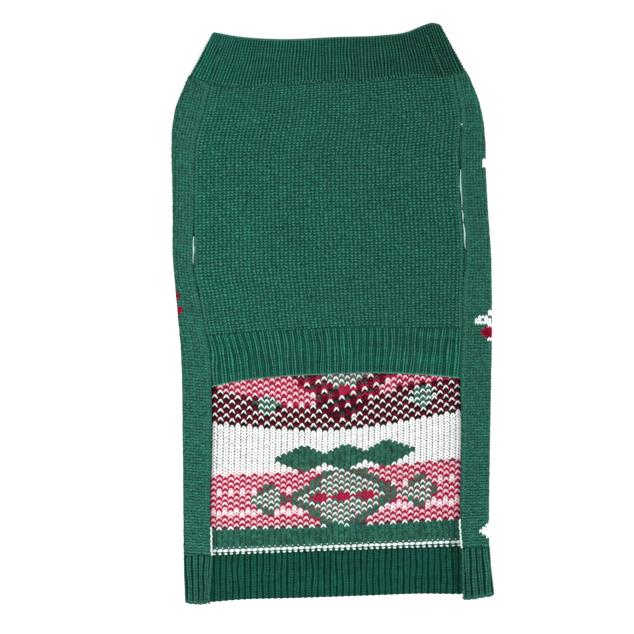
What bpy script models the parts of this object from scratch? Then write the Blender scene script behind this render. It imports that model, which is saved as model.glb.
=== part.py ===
"""Knitted dog sweater, laid flat on its back with the belly side up.

One wide back panel lies underneath, and its two sides fold over to the front. The belly panel lies between
those sides and is sewn to them above and below the two leg slits. Ribbed hems finish the belly and the
back, and a ribbed collar closes the neck. +Y points to the neck, +X to the viewer's right and +Z up, and the
sweater rests on Z = 0.
"""

import math
from collections import namedtuple

import bpy
import numpy as np
from mathutils import Matrix

MM = 0.001  # the sizes below are in millimetres

# Cloth
BACK_WALL = 2.4  # double-bed jacquard
BELLY_WALL = 2.0  # plain knit
RIB_WALL = 2.6
SEAM_GAP = 0.3
LAYER_GAP = 0.5  # between the layers that lie on each other
HEM_LIFT = 0.7  # how far the belly's loose hem stands off the back
BILLOW = 0.5  # height of the soft swells over the belly
SWELLS = 1.15  # swells from the belly's rib to its neck
SWELL_LAG = 3.0  # radians that they lag behind from the left side to the right one

# Mesh steps across one layer
EDGE_STEPS = 4
FOLD_STEPS = 8
FLAT_STEPS = 18
BELLY_STEPS = 20
HEM_STEPS = 8
COLLAR_STEPS = 4
CLOSEST_LEVELS = 3.0  # sections of the body lie at least this far apart
PASSES = 3  # rounds that find where a slanting course meets a slanting seam

# Outline of the folded body, a row for each section from hem to neck. y_left and y_right are the heights of
# one knitted course at the two side folds, fold_left and fold_right are how far out the folds reach, height
# is how thick the rolled folds are, and neck is how far the course has taken the shape of the collar seam.
Section = namedtuple("Section", "y_left y_right fold_left fold_right height neck")
BODY = [
    Section(-174.0, -167.5, -107.3, 112.5, 7.6, 0.0),
    Section(-150.0, -144.0, -107.5, 112.2, 7.2, 0.0),
    Section(-113.0, -107.0, -107.7, 112.7, 7.0, 0.0),
    Section(-83.0, -78.0, -108.0, 113.2, 7.2, 0.0),
    Section(-53.0, -49.0, -108.3, 113.8, 7.4, 0.0),
    Section(-29.0, -26.0, -109.1, 114.2, 7.6, 0.0),
    Section(-4.0, -2.0, -111.3, 114.3, 7.4, 0.0),
    Section(24.0, 25.0, -113.8, 114.1, 7.0, 0.0),
    Section(40.0, 41.0, -115.0, 113.7, 6.8, 0.0),
    Section(73.0, 74.0, -115.2, 111.5, 6.8, 0.0),
    Section(104.0, 105.0, -115.7, 109.9, 7.0, 0.0),
    Section(119.0, 120.0, -116.0, 109.8, 7.2, 0.0),
    Section(134.0, 135.0, -115.2, 108.4, 7.2, 0.1),
    Section(146.0, 147.0, -112.9, 106.2, 7.2, 0.3),
    Section(157.0, 159.0, -108.8, 102.0, 7.2, 0.6),
    Section(170.4, 173.3, -102.8, 95.6, 7.2, 1.0),
]

# Side seams, from hem to neck: where the belly meets the folded sides, and how far apart they lie. The gap
# is SEAM_GAP where they are sewn together and wider along the leg slits.
Seam = namedtuple("Seam", "y left right left_gap right_gap")
SEAMS = [
    Seam(-174.0, -87.6, 93.2, 0.3, 0.3),
    Seam(-150.0, -88.1, 91.4, 0.3, 0.3),
    Seam(-113.0, -87.6, 92.0, 0.3, 0.3),
    Seam(-83.0, -87.0, 92.6, 0.3, 0.3),
    Seam(-53.0, -87.2, 91.5, 0.3, 0.3),
    Seam(-24.0, -89.2, 92.6, 0.3, 0.3),
    Seam(-8.0, -92.8, 93.0, 0.3, 0.3),
    Seam(6.0, -94.9, 93.1, 0.3, 0.3),
    Seam(13.0, -96.2, 93.3, 1.6, 0.3),
    Seam(26.0, -99.2, 93.8, 2.0, 0.3),
    Seam(35.0, -100.2, 94.6, 1.8, 1.2),
    Seam(55.0, -100.0, 94.4, 0.9, 1.9),
    Seam(75.0, -99.8, 92.6, 0.6, 1.2),
    Seam(100.0, -99.5, 91.4, 0.5, 0.9),
    Seam(118.0, -99.1, 91.3, 0.4, 1.2),
    Seam(128.0, -97.3, 91.8, 0.3, 0.8),
    Seam(136.0, -95.0, 92.2, 0.3, 0.3),
    Seam(164.0, -87.8, 88.0, 0.3, 0.3),
    Seam(174.0, -86.0, 86.4, 0.3, 0.3),
]

# Edges that run across the sweater, each as points from left to right.
Point = namedtuple("Point", "x y")
COLLAR_SEAM = [
    Point(-102.8, 170.4),
    Point(-92.0, 166.4),
    Point(-74.0, 163.6),
    Point(-45.0, 164.2),
    Point(-10.0, 166.8),
    Point(27.0, 167.8),
    Point(60.0, 170.4),
    Point(84.0, 171.0),
    Point(95.6, 173.3),
]
COLLAR_TOP = [
    Point(-86.2, 201.4),
    Point(-72.0, 198.8),
    Point(-42.0, 196.4),
    Point(4.0, 197.9),
    Point(34.0, 199.0),
    Point(54.0, 201.7),
    Point(66.0, 206.6),
    Point(71.0, 208.0),
    Point(77.0, 206.4),
]
BELLY_RIB_SEAM = [
    Point(-92.0, -15.8),
    Point(-50.0, -13.2),
    Point(-10.0, -10.9),
    Point(93.0, -10.8),
]
BELLY_HEM = [
    Point(-87.2, -53.2),
    Point(-71.0, -49.6),
    Point(-45.0, -46.4),
    Point(-10.0, -44.2),
    Point(51.0, -43.6),
    Point(74.0, -45.1),
    Point(91.5, -47.0),
]
BACK_HEM = [
    Point(-106.0, -208.0),
    Point(-88.0, -207.8),
    Point(-68.0, -206.2),
    Point(-25.0, -204.9),
    Point(32.0, -202.9),
    Point(62.0, -201.8),
    Point(92.0, -202.0),
    Point(116.0, -201.4),
]
FLAP_HEM = [
    Point(-106.0, -208.0),
    Point(-100.0, -208.6),
    Point(-94.0, -209.1),
    Point(-89.0, -208.5),
    Point(94.5, -205.2),
    Point(100.0, -205.1),
    Point(108.0, -203.9),
    Point(116.0, -202.5),
]

# Collar
COLLAR_LIP = 0.6  # how far its back shows past its front
COLLAR_SEAM_HEIGHT = 7.6
COLLAR_TOP_HEIGHT = 7.8
COLLAR_SHOULDER = 0.15  # share of its width over which its front comes down from each fold

# Sides of the back hem, from its seam to its edge.
Flap = namedtuple("Flap", "down fold_left fold_right edge_left edge_right height")
FLAPS = [
    Flap(0.0, -107.2, 112.6, -87.8, 93.5, 7.8),
    Flap(0.4, -106.9, 113.5, -88.6, 93.9, 7.8),
    Flap(0.8, -106.4, 115.2, -89.6, 94.3, 8.0),
    Flap(1.0, -106.0, 116.0, -90.0, 94.5, 8.0),
]

# One section of a layer whose sides fold over: its folds, their height and its loose upper edges.
Layer = namedtuple("Layer", "fold_left fold_right height edge_left edge_right")

# Colours, linear RGB
KNIT_GREEN = (0.021, 0.127, 0.078, 1.0)
RIB_GREEN = (0.016, 0.105, 0.064, 1.0)
COLLAR_GREEN = (0.014, 0.092, 0.056, 1.0)
BACK_GREEN = (0.030, 0.150, 0.095, 1.0)
KNIT_ROUGHNESS = 0.92


def column(rows, name):
    """One named column of a table, as an array."""
    return np.array([getattr(row, name) for row in rows])


def smooth_value(x, known_x, known_y):
    """The value at x of a smooth curve through the known points: cubic pieces with the points' mean slopes."""
    slopes = np.gradient(known_y, known_x)
    i = np.clip(np.searchsorted(known_x, x, side="right") - 1, 0, len(known_x) - 2)
    span = known_x[i + 1] - known_x[i]
    t = np.clip((x - known_x[i]) / span, 0.0, 1.0)
    from_start = (2 * t**3 - 3 * t**2 + 1) * known_y[i] + (t**3 - 2 * t**2 + t) * span * slopes[i]
    from_end = (3 * t**2 - 2 * t**3) * known_y[i + 1] + (t**3 - t**2) * span * slopes[i + 1]
    return from_start + from_end


def edge_y(points, x):
    """Height y at x of an edge that runs across the sweater, level past its ends."""
    x = np.clip(x, points[0].x, points[-1].x)
    return smooth_value(x, column(points, "x"), column(points, "y"))


def body_value(y, name):
    """A column of BODY at mean course height y."""
    mean = (column(BODY, "y_left") + column(BODY, "y_right")) / 2
    return smooth_value(y, mean, column(BODY, name))


def seam_value(y, name):
    """A column of SEAMS at height y. Gaps run straight between their rows."""
    if name.endswith("gap"):
        return np.interp(y, column(SEAMS, "y"), column(SEAMS, name))
    return smooth_value(y, column(SEAMS, "y"), column(SEAMS, name))


def ease(t):
    """0 to 1 with level ends."""
    t = np.clip(t, 0, 1)
    return t * t * (3 - 2 * t)


def side_points(fold, edge, inward, wall, height, edge_z):
    """Mid-surface points (x, z) from a loose upper edge to the fold, round it and down to the flat layer.

    inward is 1 at the left fold and -1 at the right one.
    """
    centre = fold + inward * height / 2
    radius = (height - wall) / 2
    t = np.linspace(0, 1, EDGE_STEPS, endpoint=False)
    strip_x = edge + (centre - edge) * t
    strip_z = edge_z + (height - wall / 2 - edge_z) * ease(t)
    angle = np.linspace(0.5, 1.5, FOLD_STEPS + 1) * math.pi
    arc_x = centre + inward * radius * np.cos(angle)
    arc_z = height / 2 + radius * np.sin(angle)
    return np.concatenate([strip_x, arc_x]), np.concatenate([strip_z, arc_z])


def folded_section(layer, wall, edge_z):
    """Mid-surface points (x, z) of a layer whose two sides fold over to the front, from edge to edge."""
    left_x, left_z = side_points(layer.fold_left, layer.edge_left, 1, wall, layer.height, edge_z)
    right_x, right_z = side_points(layer.fold_right, layer.edge_right, -1, wall, layer.height, edge_z)
    floor_x = np.linspace(left_x[-1], right_x[-1], FLAT_STEPS + 1)[1:-1]
    floor_z = np.full(len(floor_x), wall / 2)
    x = np.concatenate([left_x, floor_x, right_x[::-1]])
    z = np.concatenate([left_z, floor_z, right_z[::-1]])
    return x, z


def sweater_material(name, colour):
    material = bpy.data.materials.new(name)
    material.use_nodes = True
    shader = material.node_tree.nodes["Principled BSDF"]
    shader.inputs["Base Color"].default_value = colour
    shader.inputs["Roughness"].default_value = KNIT_ROUGHNESS
    shader.inputs["Metallic"].default_value = 0.0
    material.diffuse_color = colour
    return material


def sheet(name, rows, wall, colour, ring=False):
    """A cloth layer: rows of mid-surface points lofted into an open surface, thickened by Solidify.

    rows is an array of points in millimetres, rows by columns. In a ring the last column joins the first.
    """
    count, across = rows.shape[:2]
    spans = across if ring else across - 1
    faces = []
    for i in range(count - 1):
        for j in range(spans):
            k = (j + 1) % across
            faces.append((i * across + j, i * across + k, (i + 1) * across + k, (i + 1) * across + j))
    mesh = bpy.data.meshes.new(name)
    mesh.from_pydata((rows.reshape(-1, 3) * MM).tolist(), [], faces)
    mesh.shade_smooth()
    mesh.materials.append(sweater_material(name, colour))
    panel = bpy.data.objects.new(name, mesh)
    solidify = panel.modifiers.new("Cloth", "SOLIDIFY")
    solidify.thickness = wall * MM
    solidify.offset = 0.0
    solidify.use_even_offset = True
    solidify.use_quality_normals = True
    return panel


def levels():
    """Mean heights of the courses that the body's sections are taken at: those of both tables."""
    mean = (column(BODY, "y_left") + column(BODY, "y_right")) / 2
    seams = [y for y in column(SEAMS, "y") if mean[0] < y < mean[-1] and np.abs(mean - y).min() > CLOSEST_LEVELS]
    return sorted([*mean, *seams])


def across(x, left, right):
    """Height y at x of a straight line between two points."""
    return left.y + (right.y - left.y) * (x - left.x) / (right.x - left.x)


def course_y(x, level):
    """Height y at x of the course whose mean height is level."""
    left = Point(body_value(level, "fold_left"), body_value(level, "y_left"))
    right = Point(body_value(level, "fold_right"), body_value(level, "y_right"))
    neck_x = np.clip(x, COLLAR_SEAM[0].x, COLLAR_SEAM[-1].x)
    dip = edge_y(COLLAR_SEAM, x) - across(neck_x, COLLAR_SEAM[0], COLLAR_SEAM[-1])
    return across(x, left, right) + body_value(level, "neck") * dip


def seam_point(level, side):
    """Where a course meets a side seam: x in the middle of its gap, height y and the gap's width."""
    x = seam_value(level, side)
    for _ in range(PASSES):
        y = course_y(x, level)
        x = seam_value(y, side)
    return x, y, seam_value(y, side + "_gap")


def back_rows():
    """Sections of the back panel from the hem seam to the collar seam."""
    edge_z = BACK_WALL + LAYER_GAP + BACK_WALL / 2
    rows = []
    for level in levels():
        left, _, left_gap = seam_point(level, "left")
        right, _, right_gap = seam_point(level, "right")
        folds = [body_value(level, name) for name in ("fold_left", "fold_right", "height")]
        x, z = folded_section(Layer(*folds, left - left_gap / 2, right + right_gap / 2), BACK_WALL, edge_z)
        rows.append(np.stack([x, course_y(x, level), z], axis=1))
    rows = np.array(rows)
    rows[0, :, 1] += SEAM_GAP / 2
    rows[-1, :, 1] -= SEAM_GAP / 2
    return rows


def hem_rib_rows():
    """Sections of the back hem from its edge up to its seam. The folded flaps end in an edge of their own."""
    floor_z = RIB_WALL / 2
    edge_z = RIB_WALL + LAYER_GAP + floor_z
    rows = []
    for flap in FLAPS:
        layer = Layer(flap.fold_left, flap.fold_right, flap.height, flap.edge_left, flap.edge_right)
        x, z = folded_section(layer, RIB_WALL, edge_z)
        seam = course_y(x, levels()[0]) - SEAM_GAP / 2
        folded = ease((z - floor_z) / (edge_z - floor_z))
        hem = edge_y(BACK_HEM, x) * (1 - folded) + edge_y(FLAP_HEM, x) * folded
        rows.append(np.stack([x, seam + (hem - seam) * flap.down, z], axis=1))
    return np.array(rows)[::-1]


def belly_edges(y):
    """x of the belly's two sides at height y, half a gap inside the seams of the back's sections."""
    left = np.array([seam_point(level, "left") for level in levels()])
    right = np.array([seam_point(level, "right") for level in levels()])
    left_x = np.interp(y, left[:, 1], left[:, 0] + left[:, 2] / 2)
    right_x = np.interp(y, right[:, 1], right[:, 0] - right[:, 2] / 2)
    return left_x, right_x


def belly_row(height_at, z):
    """A row of belly points along the edge or course height_at, from side to side."""
    x = np.linspace(*belly_edges(height_at(np.zeros(1))[0]), BELLY_STEPS + 1)
    for _ in range(PASSES):
        y = height_at(x)
        left = belly_edges(y[0])[0]
        right = belly_edges(y[-1])[1]
        x = np.linspace(left, right, BELLY_STEPS + 1)
    return np.stack([x, y, z], axis=1)


def swell(up, t):
    """Soft swells over the belly, level at its rim: up it and across it, both from 0 to 1."""
    return np.sin(math.pi * t) * np.sin(math.pi * up) * (1 + np.sin(2 * math.pi * SWELLS * up + SWELL_LAG * t))


def belly_rows():
    """Courses of the belly panel from its rib to the collar seam."""
    base_z = BACK_WALL + LAYER_GAP + BELLY_WALL / 2
    t = np.linspace(0, 1, BELLY_STEPS + 1)
    first = max(point.y for point in BELLY_RIB_SEAM) + CLOSEST_LEVELS
    courses = [level for level in levels() if level > first]
    rows = [belly_row(lambda x: edge_y(BELLY_RIB_SEAM, x) + SEAM_GAP / 2, np.full(len(t), base_z))]
    for level in courses:
        up = (level - first) / (courses[-1] - first)
        rows.append(belly_row(lambda x: course_y(x, level), base_z + BILLOW * swell(up, t)))
    rows[-1][:, 1] -= SEAM_GAP / 2
    return np.array(rows)


def belly_rib_rows():
    """Courses of the belly's ribbed hem from its loose edge up to the plain knit."""
    base_z = BACK_WALL + LAYER_GAP + RIB_WALL / 2
    t = np.linspace(0, 1, BELLY_STEPS + 1)
    rows = []
    for up in np.linspace(0, 1, HEM_STEPS + 1):
        lift = HEM_LIFT * ease(1 - up) * np.sin(math.pi * t)
        rows.append(
            belly_row(
                lambda x: (1 - up) * edge_y(BELLY_HEM, x) + up * (edge_y(BELLY_RIB_SEAM, x) - SEAM_GAP / 2),
                base_z + lift,
            )
        )
    return np.array(rows)


def collar_ring(edge, height, back_shift):
    """A closed ring of points round the flattened collar, over an edge that its front follows."""
    left, right = edge[0].x, edge[-1].x
    gap_z = RIB_WALL + LAYER_GAP + RIB_WALL / 2
    radius = (height - RIB_WALL) / 2
    angle = np.linspace(0.5, 1.5, FOLD_STEPS + 1) * math.pi
    left_x = left + height / 2 + radius * np.cos(angle)
    right_x = right - height / 2 - radius * np.cos(angle)
    arc_z = height / 2 + radius * np.sin(angle)
    inner = np.linspace(left_x[0], right_x[0], FLAT_STEPS + 1)[1:-1]
    depth = np.minimum(inner - inner[0], inner[-1] - inner) / (COLLAR_SHOULDER * (right - left))
    front_z = gap_z + (height - RIB_WALL / 2 - gap_z) * ease(1 - depth)
    floor_z = np.full(len(inner), RIB_WALL / 2)
    x = np.concatenate([left_x, inner, right_x[::-1], inner[::-1]])
    z = np.concatenate([arc_z, floor_z, arc_z[::-1], front_z[::-1]])
    y = edge_y(edge, x) + back_shift * ease(1 - z / height)
    return np.stack([x, y, z], axis=1)


def collar_rows():
    """Rings of the collar from its seam up to its edge."""
    base = collar_ring(COLLAR_SEAM, COLLAR_SEAM_HEIGHT, 0.0)
    base[:, 1] += SEAM_GAP / 2
    top = collar_ring(COLLAR_TOP, COLLAR_TOP_HEIGHT, COLLAR_LIP)
    return np.array([base + (top - base) * up for up in np.linspace(0, 1, COLLAR_STEPS + 1)])


def bounds(panels):
    """Low and high corners of the thickened panels."""
    graph = bpy.context.evaluated_depsgraph_get()
    corners = [np.array(corner) for panel in panels for corner in panel.evaluated_get(graph).bound_box]
    return np.min(corners, axis=0), np.max(corners, axis=0)


def centre(panels):
    """Moves the sweater so that it rests on the origin, in the middle of its outline."""
    low, high = bounds(panels)
    shift = Matrix.Translation((-(low[0] + high[0]) / 2, -(low[1] + high[1]) / 2, -low[2]))
    for panel in panels:
        panel.data.transform(shift)


def main():
    for old in list(bpy.data.objects):
        bpy.data.objects.remove(old)
    collection = bpy.data.collections.new("dog_sweater")
    bpy.context.scene.collection.children.link(collection)
    sweater = bpy.data.objects.new("sweater", None)
    collection.objects.link(sweater)
    panels = [
        sheet("back_panel", back_rows(), BACK_WALL, BACK_GREEN),
        sheet("back_hem_rib", hem_rib_rows(), RIB_WALL, RIB_GREEN),
        sheet("belly_panel", belly_rows(), BELLY_WALL, KNIT_GREEN),
        sheet("belly_hem_rib", belly_rib_rows(), RIB_WALL, RIB_GREEN),
        sheet("collar", collar_rows(), RIB_WALL, COLLAR_GREEN, ring=True),
    ]
    for panel in panels:
        collection.objects.link(panel)
        panel.parent = sweater
    bpy.context.view_layer.update()
    centre(panels)


main()
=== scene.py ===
"""Looks of a knitted dog sweater that lies flat with its belly side up.

Sizes are in millimetres, +X to the viewer's right, +Y to the neck and +Z up. Each cloth is one closed shell
on the form of its CAD solid, with its knit in relief. The stitches of the jacquard's inner face, its white
chains and the yarns of edges and seams are pieces of their own on that cloth.
"""

import math  # noqa: E402
from collections import namedtuple  # noqa: E402

import bpy  # noqa: E402
import numpy as np  # noqa: E402
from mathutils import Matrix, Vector  # noqa: E402


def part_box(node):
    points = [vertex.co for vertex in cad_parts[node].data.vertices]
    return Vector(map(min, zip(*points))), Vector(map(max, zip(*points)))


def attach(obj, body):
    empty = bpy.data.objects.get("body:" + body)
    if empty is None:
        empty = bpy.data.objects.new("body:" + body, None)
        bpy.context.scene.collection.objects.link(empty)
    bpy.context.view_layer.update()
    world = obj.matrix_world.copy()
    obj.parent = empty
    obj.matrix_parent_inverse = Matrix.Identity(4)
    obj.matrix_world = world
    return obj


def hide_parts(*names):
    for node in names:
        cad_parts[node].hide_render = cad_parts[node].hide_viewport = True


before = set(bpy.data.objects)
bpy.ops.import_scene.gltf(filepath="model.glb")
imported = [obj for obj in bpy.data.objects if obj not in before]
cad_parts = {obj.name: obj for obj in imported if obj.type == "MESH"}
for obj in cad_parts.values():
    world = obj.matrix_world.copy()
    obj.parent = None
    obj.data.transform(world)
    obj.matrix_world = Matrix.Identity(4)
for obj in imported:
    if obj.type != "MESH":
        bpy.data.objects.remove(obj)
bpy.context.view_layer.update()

MM = 0.001
TURN = 2 * math.pi
SEED = 11

# Cloth, as the CAD has it
BACK_WALL = 2.4
BELLY_WALL = 2.0
RIB_WALL = 2.6
LAYER_GAP = 0.5
HEM_LIFT = 0.7
BILLOW, SWELLS, SWELL_LAG = 0.5, 1.15, 3.0
COLLAR_SEAM_HEIGHT, COLLAR_TOP_HEIGHT = 7.6, 7.8
COLLAR_SHOULDER = 0.15  # share of the collar's width over which its front comes down from each fold
COLLAR_LIP = 0.6
COLLAR_BUNCH = 0.14  # how much narrower the ribs of its edge are at the folds than half way between them
SHOWN_GAP = 0.04  # between pieces that are knitted on to each other

# Gauge: how many wales and courses each cloth has
BACK_WALES, BACK_COURSES = 119, 170
BELLY_WALES, BELLY_COURSES = 66, 88
BELLY_RIBS, BELLY_RIB_COURSES = 35, 17
COLLAR_RIBS, COLLAR_COURSES = 166, 17
HEM_RIBS, HEM_COURSES = 59, 17
INNER_WALES = 43


def table(row, *values):
    """A short table, as rows with named columns."""
    return [row(*value) for value in values]


# Outline of the folded body, its side seams and the edges that run across it: the same tables as the CAD's.
BODY = table(
    namedtuple("Section", "y_left y_right fold_left fold_right height neck"),
    (-174.0, -167.5, -107.3, 112.5, 7.6, 0.0),
    (-150.0, -144.0, -107.5, 112.2, 7.2, 0.0),
    (-113.0, -107.0, -107.7, 112.7, 7.0, 0.0),
    (-83.0, -78.0, -108.0, 113.2, 7.2, 0.0),
    (-53.0, -49.0, -108.3, 113.8, 7.4, 0.0),
    (-29.0, -26.0, -109.1, 114.2, 7.6, 0.0),
    (-4.0, -2.0, -111.3, 114.3, 7.4, 0.0),
    (24.0, 25.0, -113.8, 114.1, 7.0, 0.0),
    (40.0, 41.0, -115.0, 113.7, 6.8, 0.0),
    (73.0, 74.0, -115.2, 111.5, 6.8, 0.0),
    (104.0, 105.0, -115.7, 109.9, 7.0, 0.0),
    (119.0, 120.0, -116.0, 109.8, 7.2, 0.0),
    (134.0, 135.0, -115.2, 108.4, 7.2, 0.1),
    (146.0, 147.0, -112.9, 106.2, 7.2, 0.3),
    (157.0, 159.0, -108.8, 102.0, 7.2, 0.6),
    (170.4, 173.3, -102.8, 95.6, 7.2, 1.0),
)
Sides = namedtuple("Sides", "y left right")
SEAMS = table(
    Sides,
    (-174.0, -87.6, 93.2), (-150.0, -88.1, 91.4), (-113.0, -87.6, 92.0), (-83.0, -87.0, 92.6),
    (-53.0, -87.2, 91.5), (-24.0, -89.2, 92.6), (-8.0, -92.8, 93.0), (6.0, -94.9, 93.1), (13.0, -96.2, 93.3),
    (26.0, -99.2, 93.8), (35.0, -100.2, 94.6), (55.0, -100.0, 94.4), (75.0, -99.8, 92.6),
    (100.0, -99.5, 91.4), (118.0, -99.1, 91.3), (128.0, -97.3, 91.8), (136.0, -95.0, 92.2),
    (164.0, -87.8, 88.0), (174.0, -86.0, 86.4),
)  # fmt: skip
# How wide the side seams stand open, and the yarns that show in the slits: white yarns of the jacquard, and
# dark green yarns laid in as painted shade where a slit's inside lies in shade
OPENINGS = table(
    Sides,
    (-200.0, 0.06, 0.06), (8.0, 0.06, 0.06), (14.0, 0.4, 0.06), (26.0, 0.9, 0.10), (35.0, 1.0, 0.8),
    (53.0, 0.9, 1.2), (58.0, 0.3, 1.1), (68.0, 0.06, 0.9), (84.0, 0.06, 1.1), (104.0, 0.06, 0.7),
    (118.0, 0.06, 1.0), (128.0, 0.06, 0.4), (135.0, 0.06, 0.06),
)  # fmt: skip
WIDE_OPEN = 0.8
SLIT_WHITE = (0.34, 0.52, 0.46)
# painted shade: dark green yarn laid where a slit's inside shows only shade
SLIT_SHADE_YARN = (0.0035, 0.085, 0.060)
FLOATS = table(
    namedtuple("Float", "side low high width colour"),
    ("left", 13.0, 35.0, 1.0, SLIT_SHADE_YARN),
    ("left", 35.0, 55.0, 1.25, SLIT_WHITE),
    ("right", 28.0, 46.0, 1.1, SLIT_SHADE_YARN),
    ("right", 46.0, 64.5, 1.4, SLIT_WHITE),
    ("right", 65.0, 74.0, 1.0, SLIT_WHITE),
    ("right", 74.5, 103.0, 1.2, SLIT_WHITE),
    ("right", 104.0, 129.0, 1.1, SLIT_SHADE_YARN),
)
Point = namedtuple("Point", "x y")
COLLAR_SEAM = table(
    Point,
    (-102.8, 170.4), (-92.0, 166.4), (-74.0, 163.6), (-45.0, 164.2), (-10.0, 166.8), (27.0, 167.8),
    (60.0, 170.4), (84.0, 171.0), (95.6, 173.3),
)  # fmt: skip
COLLAR_TOP = table(
    Point,
    (-86.2, 201.4), (-72.0, 198.8), (-42.0, 196.4), (4.0, 197.9), (34.0, 199.0), (54.0, 201.7),
    (66.0, 206.6), (71.0, 208.0), (77.0, 206.4),
)  # fmt: skip
BELLY_RIB_SEAM = table(Point, (-92.0, -15.8), (-50.0, -13.2), (-10.0, -10.9), (93.0, -10.8))
BELLY_HEM = table(
    Point,
    (-87.2, -53.2), (-71.0, -49.6), (-45.0, -46.4), (-10.0, -44.2), (51.0, -43.6), (74.0, -45.1),
    (91.5, -47.0),
)  # fmt: skip
BACK_HEM = table(
    Point,
    (-106.0, -208.0), (-88.0, -207.8), (-68.0, -206.2), (-25.0, -204.9), (32.0, -202.9), (62.0, -201.8),
    (92.0, -202.0), (116.0, -201.4),
)  # fmt: skip
FLAP_HEM = table(
    Point,
    (-106.0, -208.0), (-100.0, -208.6), (-94.0, -209.1), (-89.0, -208.5), (94.5, -205.2), (100.0, -205.1),
    (108.0, -203.9), (116.0, -202.5),
)  # fmt: skip
Flap = namedtuple("Flap", "down fold_left fold_right edge_left edge_right height")
FLAPS = table(
    Flap,
    (0.0, -107.2, 112.6, -87.8, 93.5, 7.8),
    (0.4, -106.9, 113.5, -88.6, 93.9, 7.8),
    (0.8, -106.4, 115.2, -89.6, 94.3, 8.0),
    (1.0, -106.0, 116.0, -90.0, 94.5, 8.0),
)
Layer = namedtuple("Layer", "fold_left fold_right height edge_left edge_right")
FLAT_LAYER = (-85.0, 90.0)  # columns of a folded layer between these keep their places from row to row

# Soft troughs and ridges that the cloth lies in: where, which way (degrees from +X), how long, wide and high.
RIPPLES = table(
    namedtuple("Ripple", "x y angle length width height"),
    (-60, 150, 62, 30, 9, 0.5), (-20, 120, 74, 46, 12, -0.3), (40, 150, 118, 34, 11, 0.5),
    (66, 96, 96, 60, 9, 0.4), (-72, 70, 84, 55, 10, 0.5), (10, 60, 15, 50, 10, -0.3),
    (-30, 30, 165, 45, 9, 0.4), (50, 18, 8, 42, 8, 0.4), (0, 0, 2, 90, 7, 0.5),
    (-45, -30, 90, 22, 8, 0.5), (-80, -30, 88, 20, 5, -0.4), (35, -30, 96, 22, 11, 0.5),
    (-40, -95, 100, 30, 12, 0.4), (60, -100, 80, 34, 10, 0.5), (20, -140, 10, 40, 9, 0.4),
    (-60, -150, 165, 28, 8, 0.3), (-98, -60, 88, 26, 6, 0.4), (-100, -3, 70, 9, 6, 0.7),
    (-97, -118, 92, 34, 6, -0.3), (104, -100, 93, 24, 5, 0.5), (100, -66, 60, 12, 5, -0.5),
    (103, 44, 92, 36, 5, 0.4), (103, 110, 88, 14, 6, -0.5),
)  # fmt: skip
FLOOR_LIFT = 0.35  # how much of a ripple the layer on the surface follows
# Where the belly's rows are pulled out of line: x, mean height, reach across and up, and how far
PULLS = table(
    namedtuple("Pull", "x level across up shift"),
    (-100.0, 6.0, 28.0, 26.0, -5.0),
    (92.0, 118.0, 25.0, 24.0, 3.5),
)
RIB_FAN, FAN_REACH = 3.2, 20.0  # how far the belly hem's ribs lean inwards at its sides, and over what reach
# How far the right side's loose edge stands off the layer below, over what reach, and the heights y that it
# rises from and has risen at
RAISED, RAISED_REACH, RAISED_TOP, RAISED_FULL = 3.9, 15.0, -110.0, -168.0
SEAM_DIP = 0.05  # how much of a loose edge's rounding a sewn one has
BELLY_WAVER = 0.13
BELLY_CLIMB = 2.7  # courses that the belly's rows climb from left to right

# Rib profiles: the middles of a period's wales and half the width of each, as shares of the period, how high
# the ground between a group's wales and the purl wale between groups stand, how deep the valleys are and how
# far a smooth edge rolls.
Rib = namedtuple("Rib", "wales half_width saddle purl depth rolled")
COLLAR_RIB = Rib((0.5,), 0.42, 0.0, 0.0, 0.9, 1.8)
PAIR_RIB = Rib((0.32, 0.68), 0.13, 0.25, 0.55, 0.9, 1.6)
HEM_RIB = Rib((0.29, 0.71), 0.21, 0.42, 0.0, 1.0, 2.8)
RIB_END = 0.22  # how far each rib of the back hem ends past the hem's line
RIB_SAMPLES, COLLAR_SAMPLES = 12, 6  # points across a rib
COURSE_RELIEF = 0.3
INNER_SHADE = 0.75  # painted shade on a rib's inner face, which lies low on the back hem between the flaps: how bright its wales are beside the outer face's

# Colours, linear RGB
GREEN = (0.0040, 0.078, 0.052)
RIB_GREEN = (0.0040, 0.080, 0.053)
HEM_GREEN = (0.0018, 0.052, 0.035)
COLLAR_GREEN = (0.0030, 0.072, 0.049)
STRIP_GREEN = (0.0026, 0.057, 0.038)
INNER_GREEN = (0.0095, 0.098, 0.065)
CORD_GREEN = (0.0100, 0.105, 0.071)
FLAP_CORD_GREEN = (0.0070, 0.082, 0.056)
WHITE = (0.80, 0.82, 0.81)
CRIMSON = (0.35, 0.011, 0.048)
DARK_CRIMSON = (0.14, 0.003, 0.014)
BLACK = (0.010, 0.008, 0.010)
PALE = (0.62, 0.72, 0.69)
CHECK_WHITE = (0.76, 0.78, 0.77)
PINKISH = (0.82, 0.52, 0.58)
MINTY = (0.60, 0.76, 0.70)
KNOT = (0.20, 0.38, 0.31)
# painted shade: crimson darkened for the first row of the bird's-eye band
SHADED_CRIMSON = (0.12, 0.008, 0.024)
PINK_GROUND = (0.38, 0.022, 0.060)
CHECK_GROUND = (0.06, 0.006, 0.010)

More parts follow.
